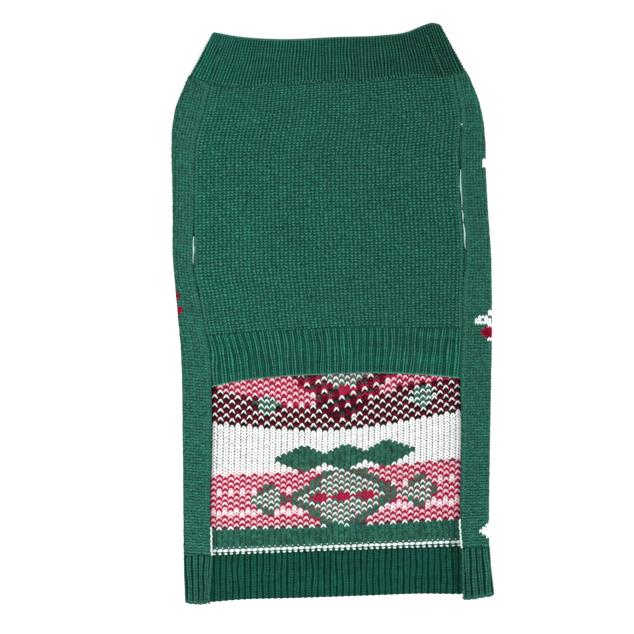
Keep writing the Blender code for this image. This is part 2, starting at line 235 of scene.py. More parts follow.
# The jacquard's inner face: lines that its bands end at, as heights at three places, and the rows up to each.
BANDS = table(
    namedtuple("Band", "rows left middle right"),
    (0, -173.6, -170.2, -167.0),
    (2, -170.2, -166.8, -163.2),
    (7, -156.0, -153.6, -148.2),
    (20, -117.0, -113.0, -104.0),
    (16, -79.8, -84.6, -71.0),
    (21, -34.0, -36.5, -27.5),
)
BAND_PLACES = np.array((-88.0, 0.0, 92.0))
BAND_TOPS = np.cumsum([band.rows for band in BANDS])
_, CHAIN_TOP, GREEN_TOP, BIRDSEYE_TOP, WHITE_TOP, INNER_TOP = BAND_TOPS
TUCKED = 6.0  # how far the stitches go on under the belly's hem
CHECK_TOP = table(
    Point, (-92.0, -53.0), (-60.0, -59.0), (-30.0, -66.5), (5.0, -61.0), (45.0, -54.0), (92.0, -46.0)
)

CAMERA_PLACE = (-11.4, -2.4)
CAMERA_VIEW = 456.5  # how much of the surface the picture's side shows
LENS = 100.0
SENSOR = 36.0


# ---------------------------------------------------------------- form


def column(rows, name):
    """One named column of a table, as an array."""
    return np.array([getattr(row, name) for row in rows])


BODY_LEVELS = (column(BODY, "y_left") + column(BODY, "y_right")) / 2
HEM_LEVEL, NECK_LEVEL = BODY_LEVELS[0], BODY_LEVELS[-1]


def smooth_value(x, known_x, known_y):
    """The value at x of a smooth curve through known points: cubic pieces with the points' mean slopes."""
    slopes = np.gradient(known_y, known_x)
    i = np.clip(np.searchsorted(known_x, x, side="right") - 1, 0, len(known_x) - 2)
    span = known_x[i + 1] - known_x[i]
    t = np.clip((x - known_x[i]) / span, 0.0, 1.0)
    from_start = (2 * t**3 - 3 * t**2 + 1) * known_y[i] + (t**3 - 2 * t**2 + t) * span * slopes[i]
    from_end = (3 * t**2 - 2 * t**3) * known_y[i + 1] + (t**3 - t**2) * span * slopes[i + 1]
    return from_start + from_end


def edge_y(points, x):
    """Height y at x of an edge that runs across the sweater."""
    x = np.clip(x, points[0].x, points[-1].x)
    return smooth_value(x, column(points, "x"), column(points, "y"))


def body_value(level, name):
    """A column of BODY at the course whose mean height is level."""
    return smooth_value(level, BODY_LEVELS, column(BODY, name))


def seam_value(y, side):
    """x of a side seam at height y."""
    return smooth_value(y, column(SEAMS, "y"), column(SEAMS, side))


def opening(y, side):
    """How wide a side seam stands open at height y."""
    return np.interp(y, column(OPENINGS, "y"), column(OPENINGS, side))


def ease(t):
    """0 to 1 with level ends."""
    t = np.clip(t, 0.0, 1.0)
    return t * t * (3 - 2 * t)


def across(x, left, right):
    """Height y at x of a straight line between two points."""
    return left.y + (right.y - left.y) * (x - left.x) / (right.x - left.x)


def course_y(x, level):
    """Height y at x of the course whose mean height is level."""
    left = Point(body_value(level, "fold_left"), body_value(level, "y_left"))
    right = Point(body_value(level, "fold_right"), body_value(level, "y_right"))
    neck_x = np.clip(x, COLLAR_SEAM[0].x, COLLAR_SEAM[-1].x)
    dip = edge_y(COLLAR_SEAM, neck_x) - across(neck_x, COLLAR_SEAM[0], COLLAR_SEAM[-1])
    return across(x, left, right) + body_value(level, "neck") * dip


def seam_point(level, side):
    """Where a course meets a side seam: x in the middle of its gap, and the gap's width."""
    x = seam_value(level, side)
    for _ in range(3):
        y = course_y(x, level)
        x = seam_value(y, side)
    return x, opening(y, side)


def evenly(curve, count, like=None, bunch=0.0):
    """A curve as `count` points that lie evenly along it, or where they would on a curve of the same make.
    On a ring they may bunch up at its two folds."""
    like = curve if like is None else like
    along = np.concatenate([[0], np.cumsum(np.linalg.norm(np.diff(like, axis=0), axis=1))])
    share = np.linspace(0, 1, count)
    share = share - bunch * np.sin(2 * TURN * share) / (2 * TURN)
    number = np.arange(len(like))
    at = np.interp(share * along[-1], along, number)
    return np.stack([np.interp(at, number, values) for values in curve.T], axis=1)


def side_points(fold, edge, inward, wall, height, edge_z):
    """Middle of the cloth, as (x, z), from a loose upper edge to the fold and round it to the flat layer."""
    centre = fold + inward * height / 2
    radius = (height - wall) / 2
    t = np.linspace(0, 1, 24, endpoint=False)
    strip = edge + (centre - edge) * t, edge_z + (height - wall / 2 - edge_z) * ease(t)
    angle = np.linspace(0.5, 1.5, 25) * math.pi
    arc = centre + inward * radius * np.cos(angle), height / 2 + radius * np.sin(angle)
    return np.concatenate([strip, arc], axis=1).T


def folded_section(layer, wall, edge_z):
    """Middle of a layer whose two sides fold over to the front, as points (x, z) from edge to edge."""
    left = side_points(layer.fold_left, layer.edge_left, 1, wall, layer.height, edge_z)
    right = side_points(layer.fold_right, layer.edge_right, -1, wall, layer.height, edge_z)
    return np.concatenate([left, [(x, wall / 2) for x in FLAT_LAYER], right[::-1]])


def back_grid(rows, columns):
    """Middle of the back panel, as rows of points from the hem seam to the collar seam."""
    edge_z = BACK_WALL + LAYER_GAP + BACK_WALL / 2
    grid = []
    for level in np.linspace(HEM_LEVEL, NECK_LEVEL, rows):
        left, left_gap = seam_point(level, "left")
        right, right_gap = seam_point(level, "right")
        folds = [body_value(level, name) for name in ("fold_left", "fold_right", "height")]
        layer = Layer(*folds, left - left_gap / 2, right + right_gap / 2)
        x, z = evenly(folded_section(layer, BACK_WALL, edge_z), columns).T
        grid.append(np.stack([x, course_y(x, level), z], axis=1))
    grid = np.array(grid)
    grid[0, :, 1] += SHOWN_GAP / 2
    grid[-1, :, 1] -= SHOWN_GAP
    return grid


def hem_grid(rows, columns):
    """Middle of the back hem, from its edge up to its seam. Its ribs keep their places from row to row."""
    floor_z = RIB_WALL / 2
    edge_z = RIB_WALL + LAYER_GAP + floor_z
    grid, first = [], None
    for down in np.linspace(0, 1, rows):
        flap = Flap(*(np.interp(down, column(FLAPS, "down"), column(FLAPS, name)) for name in Flap._fields))
        layer = Layer(flap.fold_left, flap.fold_right, flap.height, flap.edge_left, flap.edge_right)
        section = folded_section(layer, RIB_WALL, edge_z)
        first = section if first is None else first
        x, z = evenly(section, columns, first).T
        seam = course_y(x, HEM_LEVEL) - SHOWN_GAP / 2
        folded = ease((z - floor_z) / (edge_z - floor_z))
        hem = edge_y(BACK_HEM, x) * (1 - folded) + edge_y(FLAP_HEM, x) * folded
        grid.append(np.stack([x, seam + (hem - seam) * down, z], axis=1))
    return np.array(grid[::-1])


def belly_row(height_at, columns, fan=0.0):
    """x and y of a row of belly points along the course height_at, half a gap inside the side seams, with its
    points moved inwards near its ends by up to fan."""
    y = height_at(np.zeros(1))[[0, 0]]
    for _ in range(3):
        left = seam_value(y[0], "left") + opening(y[0], "left") / 2
        right = seam_value(y[-1], "right") - opening(y[-1], "right") / 2
        x = np.linspace(left, right, columns)
        from_left, from_right = (x - left) / FAN_REACH, (right - x) / FAN_REACH
        x = x + fan * (from_left * np.exp(1 - from_left) - from_right * np.exp(1 - from_right))
        y = height_at(x)
    return x, y


def pulled(x, level):
    """How far PULLS move the course of mean height level at x."""
    return sum(pull.shift * np.exp(-(((x - pull.x) / pull.across) ** 2) - ((level - pull.level) / pull.up) ** 2)
               for pull in PULLS)


def belly_grid(rows, columns):
    """Middle of the belly panel, from its rib to the collar seam."""
    base_z = BACK_WALL + LAYER_GAP + BELLY_WALL / 2
    t = np.linspace(0, 1, columns)
    first = -13.0
    grid = []
    for up in np.linspace(0, 1, rows):
        level = first + (NECK_LEVEL - first) * up
        near_rib = 1 - ease(up / 0.15)
        inside = ease(up / 0.2) * ease((1 - up) / 0.2)
        x, y = belly_row(
            lambda x: course_y(x, level)
            + inside * pulled(x, level)
            + near_rib * (edge_y(BELLY_RIB_SEAM, x) + SHOWN_GAP / 2 - course_y(x, first)),
            columns,
        )
        swell = np.sin(math.pi * t) * np.sin(math.pi * up) * (1 + np.sin(SWELLS * TURN * up + SWELL_LAG * t))
        grid.append(np.stack([x, y, base_z + BILLOW * swell], axis=1))
    grid = np.array(grid)
    grid[-1, :, 1] -= SHOWN_GAP
    return grid


def belly_rib_grid(rows, columns):
    """Middle of the belly's ribbed hem, from its loose edge up to the plain knit."""
    base_z = BACK_WALL + LAYER_GAP + RIB_WALL / 2
    lift = HEM_LIFT * np.sin(math.pi * np.linspace(0, 1, columns))
    grid = []
    for up in np.linspace(0, 1, rows):
        x, y = belly_row(
            lambda x: (1 - up) * edge_y(BELLY_HEM, x) + up * (edge_y(BELLY_RIB_SEAM, x) - SHOWN_GAP / 2),
            columns,
            RIB_FAN * (1 - up),
        )
        grid.append(np.stack([x, y, base_z + lift * ease(1 - up)], axis=1))
    return np.array(grid)


def collar_ring(edge, height, back_shift, columns, bunch=0.0):
    """A closed ring of points round the flattened collar, over an edge that its front follows."""
    left, right = edge[0].x, edge[-1].x
    gap_z = RIB_WALL + LAYER_GAP + RIB_WALL / 2
    radius = (height - RIB_WALL) / 2
    angle = np.linspace(0.5, 1.5, 25) * math.pi
    left_x = left + height / 2 + radius * np.cos(angle)
    right_x = right - height / 2 - radius * np.cos(angle)
    arc_z = height / 2 + radius * np.sin(angle)
    inner = np.linspace(left_x[0], right_x[0], 80)[1:-1]
    depth = np.minimum(inner - inner[0], inner[-1] - inner) / (COLLAR_SHOULDER * (right - left))
    front_z = gap_z + (height - RIB_WALL / 2 - gap_z) * ease(1 - depth)
    x = np.concatenate([left_x, inner, right_x[::-1], inner[::-1], left_x[:1]])
    z = np.concatenate([arc_z, np.full(len(inner), RIB_WALL / 2), arc_z[::-1], front_z[::-1], arc_z[:1]])
    y = edge_y(edge, x) + back_shift * ease(1 - z / height)
    return evenly(np.stack([x, y, z], axis=1), columns + 1, bunch=bunch)[:-1]


def collar_grid(rows, columns):
    """Rings of the collar's middle from its seam up to its edge."""
    base = collar_ring(COLLAR_SEAM, COLLAR_SEAM_HEIGHT, 0.0, columns)
    base[:, 1] += SHOWN_GAP
    top = collar_ring(COLLAR_TOP, COLLAR_TOP_HEIGHT, COLLAR_LIP, columns, COLLAR_BUNCH)
    return np.array([base + (top - base) * up for up in np.linspace(0, 1, rows)])


def moved(grid, axis, shift):
    """A copy of the grid, moved along one axis."""
    grid = grid.copy()
    grid[..., axis] += shift
    return grid


def scalloped(grid):
    """The back hem with its ribs' ends a little past its line, and the valleys between them short of it."""
    rows, columns = grid.shape[:2]
    phase = np.arange(columns) / (columns - 1) * HEM_RIBS
    return moved(grid, 1, RIB_END * np.cos(TURN * phase) * np.linspace(1, 0, rows)[:, None] ** 2)


def raised(grid):
    """The grid with its loose upper edge on the right standing off the layer below, most at the hem."""
    x, y, z = grid[..., 0], grid[..., 1], grid[..., 2]
    near_edge = ease((RAISED_REACH - (x - seam_value(y, "right"))) / RAISED_REACH)
    near_hem = ease((RAISED_TOP - y) / (RAISED_TOP - RAISED_FULL))
    return moved(grid, 2, RAISED * near_edge * near_hem * ease((z - BACK_WALL) / (BACK_WALL / 2)) * (x > 0))


def rippled(grid, floor=False):
    """The grid with the ripples that its upper layer lies in, and less of them in a layer on the surface."""
    x, y, z = grid[..., 0], grid[..., 1], grid[..., 2]
    lift = np.zeros_like(x)
    for ripple in RIPPLES:
        c, s = math.cos(math.radians(ripple.angle)), math.sin(math.radians(ripple.angle))
        along = ((x - ripple.x) * c + (y - ripple.y) * s) / ripple.length
        aside = ((y - ripple.y) * c - (x - ripple.x) * s) / ripple.width
        lift += ripple.height * np.exp(-(along**2) - aside**2)
    share = ease((z - BACK_WALL) / BACK_WALL)
    if floor:
        share = np.maximum(share, FLOOR_LIFT * (lift > 0))
    return moved(grid, 2, share * lift)


def run(grid, axis):
    """How far each point of the grid lies along its row (axis 1) or column (axis 0), and the whole length."""
    length = np.cumsum(np.linalg.norm(np.diff(grid, axis=axis), axis=2), axis=axis)
    length = np.concatenate([np.zeros_like(np.take(length, [0], axis=axis)), length], axis=axis)
    return length, np.take(length, [-1], axis=axis)


def wavering(grid, size):
    """The grid with its courses a little wavy, as hand-guided rows are, but for its edges."""
    x, y = grid[..., 0], grid[..., 1]
    (up, high), (side, wide) = run(grid, 0), run(grid, 1)
    from_edge = np.min([up, high - up, side, wide - side], axis=0)
    wave = np.sin(x / 9.3 + y / 37.0) + 0.8 * np.sin(x / 4.7 + 1.7 + y / 11.0)
    wave += 0.6 * np.sin(x / 2.9 - y / 6.1)
    return moved(grid, 1, size * wave * ease(from_edge / 3.0))


def normals(grid, ring=False):
    """Unit normals of a grid, on the side that columns by rows point to."""
    if ring:
        padded = np.concatenate([grid[:, -1:], grid, grid[:, :1]], axis=1)
        along = np.gradient(padded, axis=1)[:, 1:-1]
    else:
        along = np.gradient(grid, axis=1)
    normal = np.cross(along, np.gradient(grid, axis=0))
    return normal / np.linalg.norm(normal, axis=2, keepdims=True)


def rounding(distance, wall):
    """Share of the wall's thickness at a distance from its rounded edge."""
    t = 1 - np.clip(distance / (wall / 2), 0, 1)
    return np.clip(np.sqrt(1 - t * t), 0.3, 1)


def side_rounding(grid, wall, loose=(1.0, 1.0)):
    """Share of the wall's thickness near a cloth's sides: rounded at loose edges, a slight dip at sewn ones."""
    side, wide = run(grid, 1)
    left, right = (rounding(distance, wall) ** (SEAM_DIP + (1 - SEAM_DIP) * share)
                   for distance, share in zip((side, wide - side), loose))
    return np.minimum(left, right)


def row_openings(grid):
    """For both sides, 0 where the seam is sewn shut at a row of the grid and 1 where its slit stands open."""
    y_left, y_right = grid[:, :1, 1], grid[:, -1:, 1]
    return ease(opening(y_left, "left") / WIDE_OPEN), ease(opening(y_right, "right") / WIDE_OPEN)


# ---------------------------------------------------------------- meshes


def quads(index, ring=False):
    """Faces of a grid of point numbers."""
    if ring:
        index = np.concatenate([index, index[:, :1]], axis=1)
    return np.stack([index[:-1, :-1], index[:-1, 1:], index[1:, 1:], index[1:, :-1]], axis=-1).reshape(-1, 4)


def rim_faces(fine, coarse, ring):
    """Faces between a fine row of point numbers and a coarse one that has a point at each of its ends."""
    if ring:
        fine, coarse = np.append(fine, fine[0]), np.append(coarse, coarse[0])
    step = (len(fine) - 1) // (len(coarse) - 1)
    return [[*fine[k * step : (k + 1) * step + 1].tolist(), int(coarse[k + 1]), int(coarse[k])]
            for k in range(len(coarse) - 1)]


def shares(rows, columns, ring=False):
    """How far across and up each point of a grid lies, from 0 to 1."""
    u = np.arange(columns) / (columns if ring else columns - 1)
    return np.stack(np.meshgrid(u, np.arange(rows) / (rows - 1)), axis=-1).reshape(-1, 2)


def close_ring(corners):
    """The shares of the corners of a ring's quads, 1 across instead of 0 where the ring closes."""
    u = corners[..., 0]
    u += (u == 0) & (u.max(axis=1, keepdims=True) > 0.5)
    return corners


def add_object(name, data):
    made = bpy.data.objects.new(name, data)
    bpy.context.scene.collection.objects.link(made)
    return made


def mesh_object(name, points, faces, material, flat_from=None):
    """A mesh of its own from points in millimetres, smooth but for the faces from flat_from on."""
    mesh = bpy.data.meshes.new(name)
    mesh.from_pydata(((points + SHIFT) * MM).tolist(), [], faces)
    smooth = np.ones(len(faces), dtype=bool)
    if flat_from is not None:
        smooth[flat_from:] = False
    mesh.polygons.foreach_set("use_smooth", smooth)
    mesh.materials.append(material)
    return add_object(name, mesh)


def add_uv(piece, name, values):
    layer = piece.data.uv_layers.new(name=name)
    layer.data.foreach_set("uv", values.astype(np.float32).ravel())


def add_colour(piece, values):
    """A yarn colour for each corner of the mesh."""
    layer = piece.data.color_attributes.new("yarn", "FLOAT_COLOR", "CORNER")
    full = np.concatenate([values, np.ones((len(values), 1))], axis=1)
    layer.data.foreach_set("color", full.astype(np.float32).ravel())


def add_value(piece, name, values):
    """A number for each point of the mesh."""
    layer = piece.data.attributes.new(name, "FLOAT", "POINT")
    layer.data.foreach_set("value", values.astype(np.float32).ravel())


# Wales and courses across and up a cloth, how many points of its fine grid its coarse grid takes one of, and
# how many courses its rows climb from side to side
Knit = namedtuple("Knit", "wales courses coarse_column coarse_row climb", defaults=[0.0])


def shell(name, top, under, knit, material, flip=False, ring=False, yarns=None, values=None):
    """A closed cloth from a fine grid of its showing face and a grid of its other face, which may be coarser.

    flip turns the faces round for a grid whose normals point into the cloth. yarns holds the faces' colours
    and values the points' numbers by name, each for the fine grid and for the coarse one.
    """
    coarse = np.s_[:: knit.coarse_row, :: knit.coarse_column]
    under = under[coarse]
    index = np.arange(top[..., 0].size).reshape(top.shape[:2])
    low_index = index.size + np.arange(under[..., 0].size).reshape(under.shape[:2])
    first_row = [np.roll(numbers[0, ::-1], int(ring)) for numbers in (index, low_index)]
    ends = [first_row, (index[-1], low_index[-1])]
    if not ring:
        ends += [(index[:, 0], low_index[:, 0]), (index[::-1, -1], low_index[::-1, -1])]
    rims = [face for fine, few in ends for face in rim_faces(fine, few, ring)]
    top_faces, low_faces = quads(index, ring), quads(low_index, ring)[:, ::-1]
    faces = top_faces.tolist() + low_faces.tolist() + rims
    if flip:
        faces = [face[::-1] for face in faces]
    points = np.concatenate([top.reshape(-1, 3), under.reshape(-1, 3)])
    piece = mesh_object(name, points, faces, material, flat_from=len(top_faces) + len(low_faces))

    first, last = top_faces.size, top_faces.size + low_faces.size
    corners = np.array([n for face in faces for n in face])
    place = np.concatenate([shares(*grid.shape[:2], ring) for grid in (top, under)])[corners]
    if ring:
        place[:last] = close_ring(place[:last].reshape(-1, 4, 2)).reshape(-1, 2)
    bake = np.full_like(place, 0.742)
    bake[:first] = (0.01, 0.01) + place[:first] * (0.98, 0.72)
    bake[first:last] = (0.01, 0.75) + place[first:last] * (0.98, 0.24)
    add_uv(piece, "OFBake", bake)
    climb = place[:, :1] * (0, knit.climb)
    add_uv(piece, "stitch", place * (knit.wales, knit.courses) - climb)
    if yarns:
        colours = np.full((len(corners), 3), STRIP_GREEN)
        colours[:last] = np.repeat(np.concatenate([yarn.reshape(-1, 3) for yarn in yarns]), 4, axis=0)
        add_colour(piece, colours)
    for key, (fine, low) in (values or {}).items():
        add_value(piece, key, np.concatenate([fine.ravel(), low[coarse].ravel()]))
    return piece


def tube_object(name, paths, widths, heights, colours, material, sides=5):
    """Short closed tubes of yarn, one on each path, with half widths and heights at its points and a colour."""
    count, length = paths.shape[:2]
    along = np.gradient(paths, axis=1)
    side = np.stack([along[..., 1], -along[..., 0], np.zeros((count, length))], axis=-1)
    side /= np.maximum(np.linalg.norm(side, axis=-1, keepdims=True), 1e-6)
    angle = math.pi / 2 + TURN * np.arange(sides) / sides
    out = side[:, :, None] * (widths[..., None, None] * np.cos(angle)[:, None])
    out[..., 2] += heights[..., None] * np.sin(angle)
    index = np.arange(length * sides).reshape(length, sides)
    walls, caps = quads(index, ring=True)[:, ::-1], np.stack([index[0, ::-1], index[-1]])
    start = (np.arange(count) * index.size)[:, None, None]
    faces = (start + walls).reshape(-1, 4).tolist() + (start + caps).reshape(-1, sides).tolist()
    piece = mesh_object(name, (paths[:, :, None] + out).reshape(-1, 3), faces, material)

    tube = np.concatenate([np.repeat(np.arange(count), walls.size), np.repeat(np.arange(count), caps.size)])
    wall_place = np.tile(close_ring(shares(length, sides, ring=True)[walls]).reshape(-1, 2), (count, 1))
    cap_place = np.zeros((count * caps.size, 2))
    cells = math.ceil(math.sqrt(count))
    cell = np.stack([tube % cells, tube // cells], axis=1)
    add_colour(piece, colours[tube])
    add_uv(piece, "OFBake", (cell + np.concatenate([0.05 + 0.9 * wall_place, cap_place + 0.5])) / cells)
    add_uv(piece, "stitch", np.concatenate([wall_place, cap_place]) + tube[:, None] * (0, 1))
    return piece


# ---------------------------------------------------------------- materials


class Signal:
    """What a socket of a material gives. Signals add and multiply as numbers do."""

    def __init__(self, tree, socket):
        self.tree, self.socket = tree, socket

    def maths(self, operation, *values):
        return node(self.tree, "Math", dict(enumerate((self, *values))), operation=operation)

    def vector(self, operation, values):
        return node(self.tree, "VectorMath", {0: self, **values}, operation=operation)

    def __add__(self, other):
        return self.maths("ADD", other)

    def __mul__(self, other):
        return self.maths("MULTIPLY", other)

    def line(self, slope, base):
        return self.maths("MULTIPLY_ADD", slope, base)

    def wave(self):
        """0 at whole numbers and 1 half way between them."""
        return (self * TURN).maths("COSINE").line(-0.5, 0.5)

    def noise(self, across=1.0, up=1.0, detail=2.0):
        """Noise over a map whose two ways are scaled."""
        place = self.vector("MULTIPLY", {1: (across, up, 0)})
        return node(self.tree, "TexNoise", {"Vector": place, "Scale": 1.0, "Detail": detail}, "Fac")

    def part(self, number):
        return node(self.tree, "SeparateXYZ", {0: self}, number)


def plug(tree, value, socket):
    if isinstance(value, Signal):
        tree.links.new(value.socket, socket)
    else:
        socket.default_value = value


def node(tree, kind, values, output=0, **settings):
    """One output of a new node with these values or signals in its sockets."""
    made = tree.nodes.new("ShaderNode" + kind)
    for name, setting in settings.items():
        setattr(made, name, setting)
    for key, value in values.items():
        plug(tree, value, made.inputs[key])
    return Signal(tree, made.outputs[output])


def attribute(tree, name, output="Fac"):
    return node(tree, "Attribute", {}, output, attribute_name=name)


def purl_height(u, v):
    """The reverse of plain knit: wavy rows of bumps, brightest in the middle of each wale."""
    wale = u.wave()
    return (v + wale * 0.28).wave().line(0.80, 0.19) * wale.line(0.72, 0.30)


SLOPED_WALES = 12.0


def face_height(u, v):
    """Plain knit: rows of Vs. Its wales stand out most near the neck, and rows slope on the left strip."""
    wale = u.wave()
    rows = wale.line(0.45, u.maths("MINIMUM", SLOPED_WALES).line(-0.12, v)).wave()
    valley = wale.line(-1.0, 1.0) * v.line(0.30 / BACK_COURSES, 0.20)
    deep = v.line(-0.25 / BACK_COURSES, 0.66)
    return valley.line(-1.0, 1.0) * rows.line(deep, deep.line(-1.0, 0.93))


def rib_height(u, v):
    """Ribs: thin light wales, whose stitches slope down from their middles."""
    rows = (v + attribute(v.tree, "slant") * 0.55).wave()
    # the depth attribute darkens the valleys and, through INNER_SHADE, the inner face: painted shade
    return attribute(v.tree, "depth").maths("POWER", 1.5) * rows.line(0.55, 0.45)


def yarn_height(u, v):
    """A single yarn: round across with painted shade on its flanks, painted shade where it goes in at the back
    and painted light towards its end in front, with the twist of its plies.
    """
    along = v.maths("FRACT")
    front = along.line(1.9, 0.12).maths("SMOOTH_MIN", 1.0, 0.3)
    twist = along.line(3.0, u * 2.0).wave()
    return front * (u + 0.5).wave().line(0.45, 0.55) * twist.line(0.15, 0.85)


# A look: how bright the gaps and the tops are, as painted shade in the gaps and a painted highlight on the
# tops, how much painted sheen lies on the tops, how deep the relief is, how far the stitches waver, how uneven
# the stitches, the streaks and the fibres are, how many wales there are to a unit of the stitch map and what
# share of its brightness the look loses for each metre to the right, a painted shade in place of light falling
# off.
Look = namedtuple("Look", "deep high haze relief waver uneven streak fibre lanes fade")
PURL_LOOK = Look(0.48, 2.00, 0.064, 0.35, 1.0, 0.30, 0.30, 2.9, 1.0, 1.0)
FACE_LOOK = Look(0.25, 2.60, 0.084, 0.30, 1.3, 0.50, 0.30, 3.4, 1.0, 0.1)
RIB_LOOK = Look(0.66, 2.46, 0.094, 0.25, 1.1, 0.30, 0.80, 2.8, 2.4, 0.0)
HEM_LOOK = Look(0.55, 2.38, 0.058, 0.25, 1.4, 0.30, 0.70, 2.8, 2.4, -0.4)
COLLAR_LOOK = Look(0.66, 1.86, 0.064, 0.25, 1.1, 0.30, 0.60, 2.3, 1.0, 3.5)
YARN_LOOK = Look(0.48, 1.45, 0.030, 0.10, 0.0, 0.10, 0.05, 0.7, 1.0, 0.0)
MOTTLE = 0.25
FULL_SHEEN = 0.09  # yarn as bright as this in green takes the look's whole painted sheen
LIGHTEST = (0.93, 0.93, 0.93)


def knit_material(name, base, height_of, look):
    """Yarn of a base colour, or of the mesh's yarn colours if base is None: painted shade in the gaps, a
    painted highlight and painted sheen on top of the stitches and painted shade that changes along X, with
    uneven dye and fibres that stand off."""
    material = bpy.data.materials.new(name)
    material.use_nodes = True
    tree = material.node_tree
    uv = node(tree, "UVMap", {}, uv_map="stitch")
    u = uv.part(0) + uv.noise(0.71 * look.lanes, 0.71).line(look.waver, -look.waver / 2)
    v = uv.part(1) + uv.noise(0.83 * look.lanes, 0.83).line(look.waver, -look.waver / 2)
    stitch = node(tree, "CombineXYZ", {0: u.maths("FLOOR"), 1: v.maths("FLOOR")})
    height = height_of(u, v)
    fibres = uv.noise(3.6 * look.lanes, 3.0)
    gain = height.line(look.high - look.deep, look.deep)
    for source, share in (
        (fibres, look.fibre),
        (node(tree, "TexWhiteNoise", {"Vector": stitch}, "Value", noise_dimensions="2D"), look.uneven),
        (uv.noise(0.8 * look.lanes, 0.05), look.streak),
        (uv.noise(0.05, 0.6), look.streak),
        (uv.noise(0.10, 0.10, 3.0), MOTTLE),
    ):
        gain *= source.line(share, 1 - share / 2)
    # painted shade: the colour darkens towards +X by fade per metre and lightens where fade is below 0, in
    # place of light falling off across the cloth
    gain *= node(tree, "TexCoord", {}, "Object").part(0).line(-look.fade, 1.0)
    haze = height * height * look.haze
    if base is None:
        base = attribute(tree, "yarn", "Color")
        haze *= base.part(1).maths("DIVIDE", FULL_SHEEN).maths("MINIMUM", 1.0)
    scaled = node(tree, "VectorMath", {0: base, "Scale": gain}, operation="SCALE")
    bump = {"Strength": 0.9, "Distance": look.relief * MM, "Height": fibres.line(0.35, height)}
    for key, value in {
        "Base Color": scaled.vector("ADD", {1: haze}).vector("MINIMUM", {1: LIGHTEST}),
        "Roughness": 0.95,
        "Specular IOR Level": 0.0,
        "Sheen Weight": 0.02,
        "Sheen Roughness": 0.5,
        "Normal": node(tree, "Bump", bump),
    }.items():
        plug(tree, value, tree.nodes["Principled BSDF"].inputs[key])
    return material


# ---------------------------------------------------------------- jacquard


def snowflake(dx, dy, size):
    """A six-armed snowflake on a grid of stitches."""
    ax, ay = abs(dx), abs(dy)
    if max(ax, ay) > size:
        return False
    arms = ax == 0 or ay == 0 or ax == ay
    tips = ax + ay == size + 1 and min(ax, ay) == 1
    return (arms and (ax, ay) != (1, 1)) or tips


def star(dx, dy, size):
    """A star of four petals, hollow along its axes."""
    ax, ay = abs(dx), abs(dy)
    return 0 < min(ax, ay) and ax + ay <= size + 2 and max(ax, ay) <= min(size, 2 * min(ax, ay) + 1)


def diamond(dx, dy, size):
    return abs(dx) / size[0] + abs(dy) / size[1] <= 1


def berry(dx, dy, size):
    return (dx / size[0]) ** 2 + (dy / size[1]) ** 2 <= 1


def petals(dx, dy, size):
    """Two blunt leaves, one above the other."""
    return dy != 0 and abs(dx) <= size[0] - 0.7 * abs(abs(dy) - size[1]) and abs(dy) < 2 * size[1]


# Small motifs whose ends show at the folds
OUTER_MOTIFS = table(
    namedtuple("Motif", "wale course kind size colour"),
    (10, 88, petals, (4.7, 2.5), DARK_CRIMSON),
    (10, 88, diamond, (2.6, 0.5), WHITE),
    (110, 137, berry, (1.4, 1.7), WHITE),
    (109, 83.5, berry, (1.9, 0.9), PALE),
    (112, 80.7, berry, (2.3, 1.5), PALE),
    (112, 81, berry, (0.6, 0.5), STRIP_GREEN),
    (109.5, 78.6, berry, (1.1, 0.9), WHITE),
    (109.6, 76.5, berry, (2.9, 1.8), DARK_CRIMSON),
    (109, 74, diamond, (1.6, 0.5), WHITE),
    (109, 5, diamond, (3.3, 3.5), WHITE),
)
FIELD_MARGIN = 12  # wales at each side of the back that stay green but for those motifs
MIDDLE_WALE = 59
FIRST_MOTIF_ROW = 66  # course that the scattered motifs start at
MOTIF_ROWS, MOTIF_PITCH = 4, 22
MOTIF_WIDTH = 24
FARTHEST_MOTIF = 40  # wales from the middle


def band_colour(i, j):
    """The bands of small patterns over the back's outer face, from the hem up, or None."""
    from_middle = (i - MIDDLE_WALE + 8) % 16 - 8
    if j < CHAIN_TOP:
        return WHITE
    if GREEN_TOP <= j < 28:
        dotted = j in (10, 26) and from_middle % 8 == 0
        return WHITE if snowflake(from_middle, j - 18, 5) or dotted else CRIMSON
    if 28 <= j < 45:
        return INNER_GREEN if j - 29 < 9 - abs(from_middle) else WHITE
    if 45 <= j < 57:
        return (CRIMSON, BLACK, WHITE)[(i + 2 * j) % 3 if (j // 3) % 2 else (i + j) % 3]
    return None


def scattered(i, j):
    """Small snowflakes and stars in half-drop rows over the plain part of the back."""
    row, dy = divmod(j - FIRST_MOTIF_ROW, MOTIF_PITCH)
    if not 0 <= row < MOTIF_ROWS:
        return None
    drop = MOTIF_WIDTH // 2 * (row % 2)
    number, dx = divmod(i - MIDDLE_WALE + drop + MOTIF_WIDTH // 2, MOTIF_WIDTH)
    if abs(MOTIF_WIDTH * number - drop) > FARTHEST_MOTIF:
        return None
    dx, dy = dx - MOTIF_WIDTH // 2, dy - MOTIF_PITCH // 2
    if (row + number) % 2:
        return WHITE if snowflake(dx, dy, 5) else None
    return CRIMSON if star(dx, dy, 4) else None


def outer_yarn():
    """Colour of each stitch of the back's outer face."""
    colours = np.tile(np.array(STRIP_GREEN), (BACK_COURSES, BACK_WALES, 1))
    for j in range(BACK_COURSES):
        for i in range(BACK_WALES):
            found = None
            if FIELD_MARGIN <= i < BACK_WALES - FIELD_MARGIN:
                found = band_colour(i, j) or scattered(i, j)
            for motif in OUTER_MOTIFS:
                if motif.kind(i - motif.wale, j - motif.course, motif.size):
                    found = motif.colour
            if found:
                colours[j, i] = found
    return colours


def band_lines(x):
    """Heights at x of the lines between the inner face's bands, from the hem up."""
    return np.array([smooth_value(x, BAND_PLACES, np.array(band[1:])) for band in BANDS])


